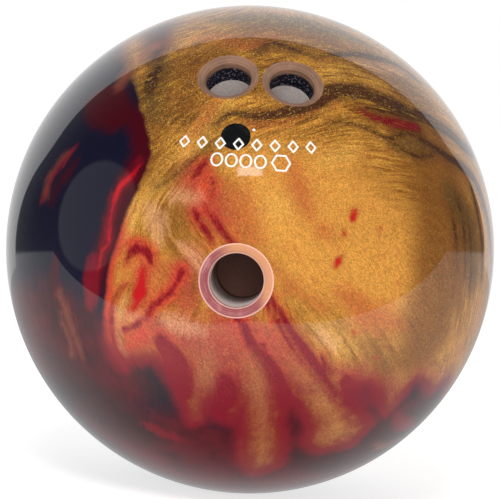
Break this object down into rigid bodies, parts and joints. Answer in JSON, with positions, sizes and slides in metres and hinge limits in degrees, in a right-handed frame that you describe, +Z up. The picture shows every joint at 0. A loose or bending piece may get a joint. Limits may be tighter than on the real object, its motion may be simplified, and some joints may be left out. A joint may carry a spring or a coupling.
{
  "type": "bowling ball",
  "caption": "Drilled ten-pin bowling ball: swirled pearl resin cover over a white filler core and a weight block, with thumb and finger holes and a locator pin.",
  "frame": {"origin": "centre of the ball", "axes": "-Y from the centre towards the thumb hole, which runs parallel to Y; +Z up, with the finger holes above the thumb hole; X across the grip, whose mid-plane is X = 0"},
  "size_m": [0.217, 0.2163, 0.217],
  "materials": {
    "pearl_cover": "polished pearl resin, gold swirled with crimson, maroon and dark navy, glossy clear surface; machined matte bevels",
    "white_filler": "matte white filler resin with drill marks",
    "weight_block": "matte dark filled resin",
    "black_pin": "polished flush with the cover",
    "white_paint": "satin paint filling engraved strokes"
  },
  "bodies": {
    "root": {"coverstock": "pearl_cover", "outer_core": "white_filler", "weight_block": "weight_block", "locator_pin": "black_pin", "upper_mark_1": "white_paint", "upper_mark_2": "white_paint", "upper_mark_3": "white_paint", "upper_mark_4": "white_paint", "upper_mark_5": "white_paint", "upper_mark_6": "white_paint", "upper_mark_7": "white_paint", "upper_mark_8": "white_paint", "lower_mark_1": "white_paint", "lower_mark_2": "white_paint", "lower_mark_3": "white_paint", "lower_mark_4": "white_paint", "end_mark": "white_paint", "cg_mark": "white_paint"}
  },
  "joints": []
}
